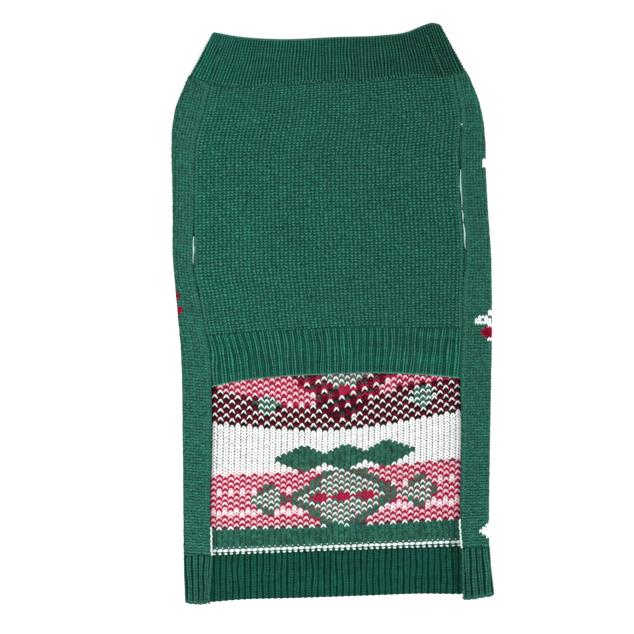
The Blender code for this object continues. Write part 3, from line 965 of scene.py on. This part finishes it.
Lozenge = namedtuple("Lozenge", "wale row across up")
BIG_LOZENGE = Lozenge(22.5, 19.0, 10.0, 14.0)
SIDE_LOZENGES = [Lozenge(wale, 19.0, 3.4, 6.0) for wale in (9.5, 35.5)]
SOLID_LOZENGES = [Lozenge(wale, 33.5, 5.0, 5.6) for wale in (15.5, 22.5, 29.5)]
TOP_LOZENGE = Lozenge(22.5, 65.0, 9.0, 15.0)
TOP_DIAMONDS = [Lozenge(wale, 52.0, 2.6, 3.6) for wale in (9.0, 36.0)]


def reach(lozenge, i, j):
    """0 in the middle of a lozenge of stitches, 1 on its outline."""
    return abs(i - lozenge.wale) / lozenge.across + abs(j - lozenge.row) / lozenge.up


def dotted_green(i, j):
    return INNER_GREEN if (i + j) % 2 else MINTY


def inner_yarn(i, j, x, y):
    """Colour of stitch i of row j of the inner face."""
    if j < GREEN_TOP:
        return INNER_GREEN
    if j < BIRDSEYE_TOP:
        return lattice(i, j) or birdseye(i, j)
    if j < WHITE_TOP:
        return INNER_GREEN if min(reach(lozenge, i, j) for lozenge in SOLID_LOZENGES) < 1 else WHITE
    found = top_motifs(i, j)
    if found:
        return found
    if y < edge_y(CHECK_TOP, x):
        return (CHECK_WHITE, DARK_CRIMSON, BLACK)[(j - i % 2) % 3]
    return CRIMSON if (i + j) % 2 else PINKISH


def birdseye(i, j):
    """Crimson and white by turns, with a row of white dots and a row of white diamonds. The crimson of its
    first row is darkened as painted shade.
    """
    if (i + j) % 2 == 0:
        return WHITE if j == GREEN_TOP else PINKISH
    if j in (14, 15) or (j == 22 and i % 2):
        return WHITE
    return SHADED_CRIMSON if j == GREEN_TOP else CRIMSON


def lattice(i, j):
    """Lozenges of green and white with crimson hearts across the bird's-eye."""
    if reach(BIG_LOZENGE, i, j) < 1:
        aside, above = abs(i - BIG_LOZENGE.wale), abs(j - BIG_LOZENGE.row)
        if aside + above < 1.8 or abs(aside - 4.0) + above < 1.6:
            return CRIMSON
        return INNER_GREEN if reach(BIG_LOZENGE, i, j) > 0.78 else dotted_green(i, j)
    for lozenge in SIDE_LOZENGES:
        if reach(lozenge, i, j) < 1:
            return INNER_GREEN if reach(lozenge, i, j) > 0.8 else dotted_green(i, j)
    return None


def top_motifs(i, j):
    """A lozenge that the belly's hem hides half of, in a dark mixed border, and a small one at each side."""
    if reach(TOP_LOZENGE, i, j) < 0.66:
        return CRIMSON if abs(i - TOP_LOZENGE.wale) + abs(j - 57) < 1.6 else dotted_green(i, j)
    if reach(TOP_LOZENGE, i, j) < 1.25:
        return (DARK_CRIMSON, BLACK, CRIMSON, BLACK, DARK_CRIMSON, HEM_GREEN, WHITE)[(2 * i + 3 * j) % 7]
    if min(reach(lozenge, i, j) for lozenge in TOP_DIAMONDS) < 1:
        return dotted_green(i, j)
    return None


# ---------------------------------------------------------------- cloths


def rib_shape(phase, rib):
    """Over a rib's period: height, 0 in a valley to 1 on a wale, and slant, 0 at a wale's middle to 1 at its
    side."""
    away = np.min([np.abs((phase - wale + 0.5) % 1 - 0.5) for wale in rib.wales], axis=0) / rib.half_width
    crest = np.clip(1 - away**2, 0, 1)
    spread = np.ptp(rib.wales) / 2 + rib.half_width
    from_middle = np.abs(phase % 1 - 0.5)
    ground = rib.saddle * ease((spread - from_middle) / rib.half_width)
    ground = np.maximum(ground, rib.purl * np.clip(1 - ((0.5 - from_middle) / rib.half_width) ** 2, 0, 1))
    return ground + (1 - ground) * crest, np.clip(away, 0, 1)


# How far a rib strays from its place: size, waves across and up, and where they start
STRAYS = [(0.28, 3.0, 0.7, 0.5), (0.22, 7.0, -0.9, 1.9), (0.20, 17.0, 1.3, 4.1), (0.26, 31.0, -0.4, 2.2)]


def wander(rows, columns):
    """How far a rib strays from its place, along its way up."""
    side, up = np.arange(columns) / columns, np.linspace(0, 1, rows)[:, None]
    bends = sum(size * np.sin(TURN * (a * side + b * up) + start) for size, a, b, start in STRAYS)
    return bends * (0.3 + 0.7 * np.sin(math.pi * up))


def ribbed(name, grid, rib, knit, material, ring=False, flip=False, rolled=(True, False), both=False,
           sewn=None):
    """A ribbed shell. rolled says whether its first and last rows end in a smooth edge, both whether its other
    face has ribs in relief too, and sewn gives how open its two side seams are at each row, or None where they
    are loose edges."""
    rows, columns = grid.shape[:2]
    spans = columns if ring else columns - 1
    pitch = run(grid, 1)[1].max() / knit.wales
    phase = np.arange(columns) / spans * knit.wales + wander(rows, columns) / pitch
    height, slant = rib_shape(phase, rib)
    up, high = run(grid, 0)
    start = 0.5 * rib.rolled
    fade, from_end = np.ones((rows, columns)), np.full((rows, columns), RIB_WALL)
    for at_edge, distance in zip(rolled, (up, high - up)):
        if at_edge:
            fade = fade * ease((distance - start) / (rib.rolled - start))
            from_end = np.minimum(from_end, distance)
    thick = rounding(from_end, RIB_WALL)
    if not ring:
        thick = np.minimum(thick, side_rounding(grid, RIB_WALL, *([sewn] if sewn else [])))
    half = RIB_WALL / 2 * thick
    depth = 1 - (1 - height) * fade
    course = COURSE_RELIEF * np.cos(TURN * (np.linspace(0, knit.courses, rows)[:, None] + 0.5 * slant))
    relief = -rib.depth * (1 - depth) * thick + course * fade * (0.4 + 0.6 * height)
    inner_height, _ = rib_shape(phase + 0.5, rib)
    inner_relief = -0.7 * (1 - inner_height) * fade * both
    normal = normals(grid, ring) * (-1 if flip else 1)
    top = grid + normal * (half + relief)[..., None]
    under = grid - normal * (half + inner_relief)[..., None]
    # INNER_SHADE dims the inner face's depth: painted shade
    values = {"depth": (depth, INNER_SHADE * inner_height), "slant": (slant, slant)}
    return shell(name, top, under, knit, material, flip=flip, ring=ring, values=values)


def belly_piece(grid, material):
    """The plain belly with its purl bumps."""
    knit = Knit(BELLY_WALES, BELLY_COURSES, 4, 3, BELLY_CLIMB)
    rows, columns = grid.shape[:2]
    u = np.arange(columns) / knit.coarse_column
    v = np.arange(rows)[:, None] / knit.coarse_row - BELLY_CLIMB * u / BELLY_WALES
    bump = 0.5 - 0.5 * np.cos(TURN * u)
    bars = 0.5 - 0.5 * np.cos(TURN * (v + 0.28 * bump))
    relief = 0.35 * (bars * (0.5 + 0.5 * bump) - 0.5) * rng.uniform(0.6, 1.4, (rows, columns))
    half = BELLY_WALL / 2 * side_rounding(grid, BELLY_WALL, row_openings(grid))
    normal = normals(grid)
    top = grid + normal * (half + relief * half)[..., None]
    return shell("belly_knit", top, grid - normal * half[..., None], knit, material)


def inner_base_colours(grid):
    """Colours of the back's inner face under its stitches, and where no stitches are built. Under the chain
    rows, the green band and the white band these are those yarns dimmed: painted shade in the holes between
    stitches.
    """
    x, y = ((grid[:-1, :-1, k] + grid[1:, 1:, k]) / 2 for k in (0, 1))
    lines = band_lines(x)
    colours = np.tile(np.array(STRIP_GREEN), (*x.shape, 1))
    # painted shade: dimmed white and green ground for the holes between stitches
    tones = (
        np.multiply(0.25, WHITE),
        np.multiply(0.60, INNER_GREEN),
        PINK_GROUND,
        np.multiply(0.05, WHITE),
        CHECK_GROUND,
    )
    for n, tone in enumerate(tones):
        colours[(y >= lines[n]) & (y < lines[n + 1])] = tone
    colours[(y >= edge_y(CHECK_TOP, x)) & (y < lines[-1]) & (y > lines[-2])] = PINK_GROUND
    return colours


def back_piece(grid, material):
    """The jacquard back. Its outer face is in slanted legs, each stitch in its yarn's colour."""
    knit = Knit(BACK_WALES, BACK_COURSES, 2, 10)
    rows, columns = grid.shape[:2]
    side, wide = run(grid, 1)
    half = BACK_WALL / 2 * side_rounding(grid, BACK_WALL, row_openings(grid))
    relief = np.where(np.arange(columns) % 2, 0.03, -0.12) * rng.uniform(0.2, 1.8, (rows, columns))
    relief += np.where(np.arange(rows)[:, None] % 2, 0.05, -0.05)
    relief += rng.normal(0, 0.09, (rows, columns))
    inside = ease((np.minimum(side, wide - side) - 0.5) / 2)
    normal = normals(grid)
    outer = grid - normal * (half + relief * inside)[..., None]
    outer[..., 2] = np.maximum(outer[..., 2], 0.0)
    outer[1:-1, 1::2] += 0.62 * (grid[-1] - grid[0])[1::2] / BACK_COURSES
    inner = grid + normal * (half - 0.8 * (grid[..., 2] < BACK_WALL) * inside)[..., None]
    yarn = np.repeat(np.repeat(outer_yarn(), 2, axis=0), 2, axis=1)
    low = grid[:: knit.coarse_row, :: knit.coarse_column]
    return shell("back_knit", outer, inner, knit, material, flip=True, yarns=(yarn, inner_base_colours(low)))


# ---------------------------------------------------------------- stitches and yarns


def inner_floor_z(x, y):
    """Height of the back's inner face between the strips."""
    flat = np.stack([x, y, np.full_like(x, BACK_WALL / 2)], axis=-1)
    return rippled(flat, floor=True)[..., 2] + BACK_WALL / 2


def inner_wale_x(i, y):
    """x of the middle of wale i of the inner face at height y."""
    left, right = seam_value(y, "left"), seam_value(y, "right")
    return left + (right - left) * (i + 0.5) / INNER_WALES


def row_place(row, x):
    """Height y at x of a row of the inner face, counted from the hem, and the rows' distance there."""
    lines = band_lines(np.array(x))
    low, y, high = (np.interp(row + step, BAND_TOPS, lines) for step in (-0.5, 0, 0.5))
    return y, high - low


def half_drop(i, j, x, y):
    """How far, in rows, the check's wales are set off from each other by turns."""
    inside = ease((j - WHITE_TOP + 1) / 2) * ease((edge_y(CHECK_TOP, x) + 3.0 - y) / 4.0)
    return (0.25 if i % 2 else -0.25) * inside


# A stitch's leg from where it comes out at the back to its tip in front: across in wales, up in rows, and the
# rest in millimetres.
LEG_ACROSS = np.array([0.51, 0.39, 0.20, 0.015])
LEG_UP = np.array([-0.85, -0.42, 0.06, 0.60])
LEG_HEIGHT = np.array([-1.10, -0.50, -0.30, -0.42])
LEG_WIDTH = np.array([0.12, 0.44, 0.62, 0.58])
LEG_THICK = np.array([0.30, 0.58, 0.62, 0.50])
YARN_WIDTH = {WHITE: 1.12, PINKISH: 1.06, CRIMSON: 0.84, SHADED_CRIMSON: 0.84, MINTY: 0.98, INNER_GREEN: 1.06}
# How far the shades of stitches and of their legs differ, in the inner green and in other yarns
GREEN_SHADES, OTHER_SHADES = ((0.80, 1.20), (0.66, 1.34)), ((0.82, 1.06), (0.92, 1.08))


def inner_stitches(material):
    """The inner face's stitches: two legs each, side by side in wales, in the colours of the bands."""
    paths, widths, thicks, colours = [], [], [], []
    for i in range(INNER_WALES):
        for j in range(CHAIN_TOP, INNER_TOP):
            x = inner_wale_x(i, -110.0)
            y, pitch = row_place(j + 0.5, x)
            x = inner_wale_x(i, y)
            y, pitch = row_place(j + 0.5 + half_drop(i, j, x, y), x)
            if y > edge_y(BELLY_HEM, x) + TUCKED:
                continue
            x = inner_wale_x(i, y)
            wale = inner_wale_x(i + 1, y) - x
            yarn_colour = inner_yarn(i, j, x, y)
            stitch_shades, leg_shades = GREEN_SHADES if yarn_colour == INNER_GREEN else OTHER_SHADES
            size = rng.uniform(0.93, 1.09)
            shade = rng.uniform(*stitch_shades)
            lean = rng.normal(0, 0.03)
            jump = rng.normal(0, 0.03 if yarn_colour == WHITE else 0.07)
            slope = (row_place(j + 0.5, x + 2.0)[0] - row_place(j + 0.5, x)[0]) / 2.0
            for side in (-1, 1):
                ax = side * LEG_ACROSS * wale * size + lean * LEG_UP * pitch
                px, py = x + ax, y + (LEG_UP + jump) * pitch + slope * ax
                paths.append(np.stack([px, py, inner_floor_z(px, py) + LEG_HEIGHT * size], axis=1))
                widths.append(LEG_WIDTH * size * YARN_WIDTH.get(yarn_colour, 1.0))
                thicks.append(LEG_THICK * size)
                colours.append(np.multiply(yarn_colour, shade * rng.uniform(*leg_shades)))
    parts = (np.array(part) for part in (paths, widths, thicks, colours))
    return tube_object("inner_stitches", *parts, material)


Loop = namedtuple("Loop", "length width height")
SEAM_LOOP = Loop(2.4, 1.1, 0.9)
EDGE_LOOP = Loop(2.5, 1.15, 0.9)
FLAP_LOOP = Loop(3.2, 1.7, 1.4)
COLLAR_LOOP = Loop(2.6, 1.1, 0.8)
LINK_LOOP = Loop(3.0, 1.2, 1.0)
CHAIN_LOOP = Loop(2.6, 1.4, 1.3)
KNOT_LOOP = Loop(2.0, 1.6, 1.2)


def beads(name, centres, turn, loop, colour, material):
    """Short fat loops in a row: turn is the way each lies, in radians from +X."""
    t = np.array([-0.5, -0.2, 0.2, 0.5]) * loop.length
    way = np.stack([np.cos(turn), np.sin(turn), np.zeros(len(turn))], axis=1)
    paths = centres[:, None] + way[:, None] * t[:, None]
    widths = np.tile(np.array([0.45, 1.0, 1.0, 0.45]) * loop.width / 2, (len(centres), 1))
    heights = np.tile(np.array([0.5, 1.0, 1.0, 0.5]) * loop.height / 2, (len(centres), 1))
    shade = rng.uniform(0.85, 1.08, (len(centres), 1))
    return tube_object(name, paths, widths, heights, np.array(colour) * shade, material, sides=6)


def bead_row(name, row, shift, loop, material):
    """White loops that lie across on a row of the inner face, at the wales' middles or shifted from them."""
    i = np.arange(INNER_WALES) + shift
    y = np.array([row_place(row, at)[0] for at in inner_wale_x(i, -170.0)])
    x = inner_wale_x(i, y) + rng.normal(0, 0.10, len(i))
    z = inner_floor_z(x, y) - 0.15
    centres = np.stack([x, y + rng.normal(0, 0.08, len(i)), z], axis=1)
    return beads(name, centres, 0.04 + rng.normal(0, 0.10, len(i)), loop, MINTY, material)


def edge_chain(side, low, high, material):
    """The white selvedge chain on a strip's edge just above the flap."""
    y = np.arange(low, high, CORD_PITCH)
    inward = 1 if side == "left" else -1
    x = seam_value(y, side) + inward * 0.7 + rng.normal(0, 0.10, len(y))
    z = np.full(len(y), 2 * BACK_WALL + LAYER_GAP - 0.1)
    turn = math.pi / 2 + inward * 0.35 * np.where(np.arange(len(y)) % 2, 1, -1)
    centres = raised(np.stack([x, y, z], axis=1))
    return beads(f"edge_chain_{side}", centres, turn, CHAIN_LOOP, MINTY, material)


CORD_PITCH = 2.05
CORD_START = -148.0
CORD_LEAN = 0.55  # radians that each loop of a cord lies off its way
SEAM_YARN_Z = 4.75
COLLAR_YARN_Z = 7.8
SLIT_YARN_Z, SLIT_YARN_HEIGHT = 4.5, 0.6
FLAP_CORD_OUT = (0.8, 0, 0)  # how far past the flaps' edges their cords lie
COLLAR_SIDES = {"left": ((-79.1, 198.0), (-87.7, 164.6)), "right": ((67.1, 199.0), (79.3, 171.4))}


def cord(name, line, lift, material, colour=CORD_GREEN, loop=EDGE_LOOP):
    """A selvedge: loops that lie aslant along a line of the cloth's middle, their middles lift above it."""
    along = run(line[:, None], 0)[0][:, 0]
    at = np.arange(CORD_PITCH / 2, along[-1], CORD_PITCH)
    centres = np.stack([np.interp(at, along, values) for values in line.T], axis=1)
    step = np.gradient(centres, axis=0)
    turn = np.arctan2(step[:, 1], step[:, 0]) + CORD_LEAN + rng.normal(0, 0.12, len(at))
    centres += rng.normal(0, 0.12, centres.shape) * (1, 1, 0) + (0, 0, lift)
    return beads(name, centres, turn, loop, colour, material)


def seam_line(side, low, high):
    """The line of a sewn part of a side seam, on top of the cloth."""
    y = np.arange(low, high, 1.0)
    return np.stack([seam_value(y, side), y, np.full(len(y), SEAM_YARN_Z)], axis=1)


def linking(name, z, material, low_x=-97.0, high_x=90.0):
    """The loops that link the collar to the body, across one side of it."""
    x = np.arange(low_x, high_x, 2.2)
    x = x + rng.normal(0, 0.15, len(x))
    y = edge_y(COLLAR_SEAM, x) - 0.6 + rng.normal(0, 0.45, len(x))
    turn = math.pi / 2 - 0.25 * x / high_x + rng.normal(0, 0.25, len(x))
    centres = np.stack([x, y, np.full(len(x), z)], axis=1)
    return beads(name, centres, turn, LINK_LOOP, CORD_GREEN, material)


def collar_seam(side):
    """The line of a rib beside the collar's side seam, on its front."""
    top, foot = np.array(COLLAR_SIDES[side])
    t = np.linspace(0, 1, 40)[:, None]
    bend = 0.5 * np.sin(math.pi * t) * (1 if side == "left" else -1)
    line = top + (foot - top) * t + (1, 0) * bend
    return np.concatenate([line, np.full((len(t), 1), COLLAR_YARN_Z)], axis=1)


def slit_yarns(material):
    """White yarns of the jacquard that show where the leg slits stand open, and dark green yarns laid lower in
    as painted shade.
    """
    t = np.linspace(0, 1, 16)
    paths, widths = [], []
    for float_ in FLOATS:
        y = float_.low + (float_.high - float_.low) * t
        x = seam_value(y, float_.side) + 0.15 + 0.18 * np.sin(9 * t + float_.low)
        z = np.full(len(t), SLIT_YARN_Z - (0.5 if float_.colour == SLIT_SHADE_YARN else 0.0))
        paths.append(np.stack([x, y, z], axis=1))
        swell = 0.45 + 0.55 * np.sqrt(np.sin(math.pi * t)) * (1 + 0.2 * np.sin(14 * t))
        widths.append(float_.width / 2 * swell)
    paths, widths, colours = np.array(paths), np.array(widths), column(FLOATS, "colour")
    return tube_object("slit_yarns", paths, widths, np.minimum(widths, SLIT_YARN_HEIGHT), colours, material)


# ---------------------------------------------------------------- studio


TABLE_HALF = 3.0  # metres
TABLE_GAP = 0.4  # how far the table lies under the cloth


def build_camera():
    camera = bpy.data.cameras.new("camera")
    camera.lens = LENS
    camera.sensor_width = SENSOR
    holder = add_object("camera", camera)
    holder.location = Vector((*CAMERA_PLACE, CAMERA_VIEW * LENS / SENSOR)) * MM
    bpy.context.scene.camera = holder


def area_light(name, place, size, power):
    """A round lamp that shines at the origin."""
    light = bpy.data.lights.new(name, "AREA")
    light.shape = "DISK"
    light.size = size
    light.energy = power
    holder = add_object(name, light)
    holder.location = place
    holder.rotation_euler = (-Vector(place)).to_track_quat("-Z", "Y").to_euler()


def build_light():
    world = bpy.data.worlds.new("studio")
    bpy.context.scene.world = world
    world.use_nodes = True
    sky = world.node_tree.nodes["Background"].inputs
    sky["Color"].default_value = (1, 1, 1, 1)
    sky["Strength"].default_value = 0.38
    area_light("key", (3.20, 1.20, 3.40), 2.0, 126.0)
    area_light("side", (2.40, 0.30, 0.70), 0.8, 14.0)
    area_light("fill", (-0.50, -0.40, 0.58), 0.8, 5.7)
    bpy.context.scene.view_settings.view_transform = "Standard"


def build_floor():
    """A white table that glows a little, as a lit studio table does."""
    corners = [(x * TABLE_HALF, y * TABLE_HALF, 0) for x, y in ((-1, -1), (1, -1), (1, 1), (-1, 1))]
    mesh = bpy.data.meshes.new("floor")
    mesh.from_pydata(corners, [], [(0, 1, 2, 3)])
    material = bpy.data.materials.new("floor")
    material.use_nodes = True
    for name, value in {
        "Base Color": (0.93, 0.93, 0.93, 1),
        "Roughness": 0.9,
        "Specular IOR Level": 0.0,
        "Emission Color": (1, 1, 1, 1),
        "Emission Strength": 0.35,
    }.items():
        material.node_tree.nodes["Principled BSDF"].inputs[name].default_value = value
    mesh.materials.append(material)
    floor = add_object("floor", mesh)
    floor.location.z = -TABLE_GAP * MM


def frame_shift():
    """How far the tables' place lies from the frame's: the CAD rests centred on the origin."""
    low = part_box("back_hem_rib")[0]
    return np.array([0.0, low[1] / MM - hem_grid(3, 200)[..., 1].min(), 0.0])


rng = np.random.default_rng(SEED)
SHIFT = frame_shift()
build_camera()
build_floor()
build_light()

purl = knit_material("belly_purl", GREEN, purl_height, PURL_LOOK)
jacquard = knit_material("back_jacquard", None, face_height, FACE_LOOK)
belly_rib_knit = knit_material("belly_rib", RIB_GREEN, rib_height, RIB_LOOK)
hem_rib_knit = knit_material("hem_rib", HEM_GREEN, rib_height, HEM_LOOK)
collar_knit = knit_material("collar_rib", COLLAR_GREEN, rib_height, COLLAR_LOOK)
yarn = knit_material("single_yarn", None, yarn_height, YARN_LOOK)

back_form = raised(rippled(back_grid(2 * BACK_COURSES + 1, 2 * BACK_WALES + 1), floor=True))
belly_form = wavering(rippled(belly_grid(3 * BELLY_COURSES + 1, 4 * BELLY_WALES + 1)), BELLY_WAVER)
belly_rib_form = rippled(belly_rib_grid(3 * BELLY_RIB_COURSES + 1, RIB_SAMPLES * BELLY_RIBS + 1))
hem_form = raised(scalloped(hem_grid(2 * HEM_COURSES + 1, RIB_SAMPLES * HEM_RIBS + 1)))
collar_form = collar_grid(3 * COLLAR_COURSES + 1, COLLAR_SAMPLES * COLLAR_RIBS)

back = back_piece(back_form, jacquard)
belly = belly_piece(belly_form, purl)
belly_rib = ribbed("belly_rib_knit", belly_rib_form, PAIR_RIB, Knit(BELLY_RIBS, BELLY_RIB_COURSES, 6, 3),
                   belly_rib_knit, sewn=row_openings(belly_rib_form))
hem_rib = ribbed("hem_rib_knit", hem_form, HEM_RIB, Knit(HEM_RIBS, HEM_COURSES, 1, 1), hem_rib_knit,
                 flip=True, both=True)
collar = ribbed("collar_knit", collar_form, COLLAR_RIB, Knit(COLLAR_RIBS, COLLAR_COURSES, 6, 3), collar_knit,
                ring=True, flip=True, rolled=(False, True))

SEWN = [("left", "low", -50.0, 9.0), ("left", "high", 66.0, 163.0),
        ("right", "low", -46.0, 26.0), ("right", "high", 134.0, 168.0)]
strip_edges = [line[line[:, 1] > CORD_START] for line in (back_form[:, 2], back_form[:, -3])]
back_details = [
    inner_stitches(yarn),
    bead_row("hem_loops", 1.42, 0.0, Loop(4.1, 2.5, 1.4), yarn),
    bead_row("hem_dots", 2.55, 0.5, Loop(0.9, 1.0, 1.2), yarn),
    bead_row("hem_beads", 0.12, 0.0, Loop(2.4, 1.45, 1.2), yarn),
    edge_chain("left", -173.0, -153.5, yarn),
    edge_chain("right", -167.0, -148.0, yarn),
    slit_yarns(yarn),
    cord("strip_cord_left", strip_edges[0], 0.95, yarn),
    cord("strip_cord_right", strip_edges[1], 0.95, yarn),
]
belly_details = [
    cord("belly_cord_left", belly_form[:, 3], 0.80, yarn),
    cord("belly_cord_right", belly_form[:, -4], 0.80, yarn),
    beads("knot", np.array([(92.3, 135.3, 5.2)]), np.array([1.4]), KNOT_LOOP, KNOT, yarn),
    *(cord(f"seam_{side}_{part}", seam_line(side, low, high), 0.0, yarn, GREEN, SEAM_LOOP)
      for side, part, low, high in SEWN),
]
hem_details = [
    cord("flap_cord_left", hem_form[:, 0] + FLAP_CORD_OUT, 0.75, yarn, FLAP_CORD_GREEN, FLAP_LOOP),
    cord("flap_cord_right", hem_form[:, -1] - FLAP_CORD_OUT, 0.75, yarn, FLAP_CORD_GREEN, FLAP_LOOP),
]
collar_details = [
    linking("linking_front", 5.3, yarn),
    linking("linking_back", 0.7, yarn),
    *(cord(f"collar_seam_{side}", collar_seam(side), 0.0, yarn, CORD_GREEN, COLLAR_LOOP)
      for side in COLLAR_SIDES),
]

CLOTHS = table(
    namedtuple("Cloth", "piece node details"),
    (back, "back_panel", back_details),
    (belly, "belly_panel", belly_details),
    (belly_rib, "belly_hem_rib", []),
    (hem_rib, "back_hem_rib", hem_details),
    (collar, "collar", collar_details),
)
for cloth in CLOTHS:
    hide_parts(cloth.node)
    for piece in (cloth.piece, *cloth.details):
        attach(piece, "root")
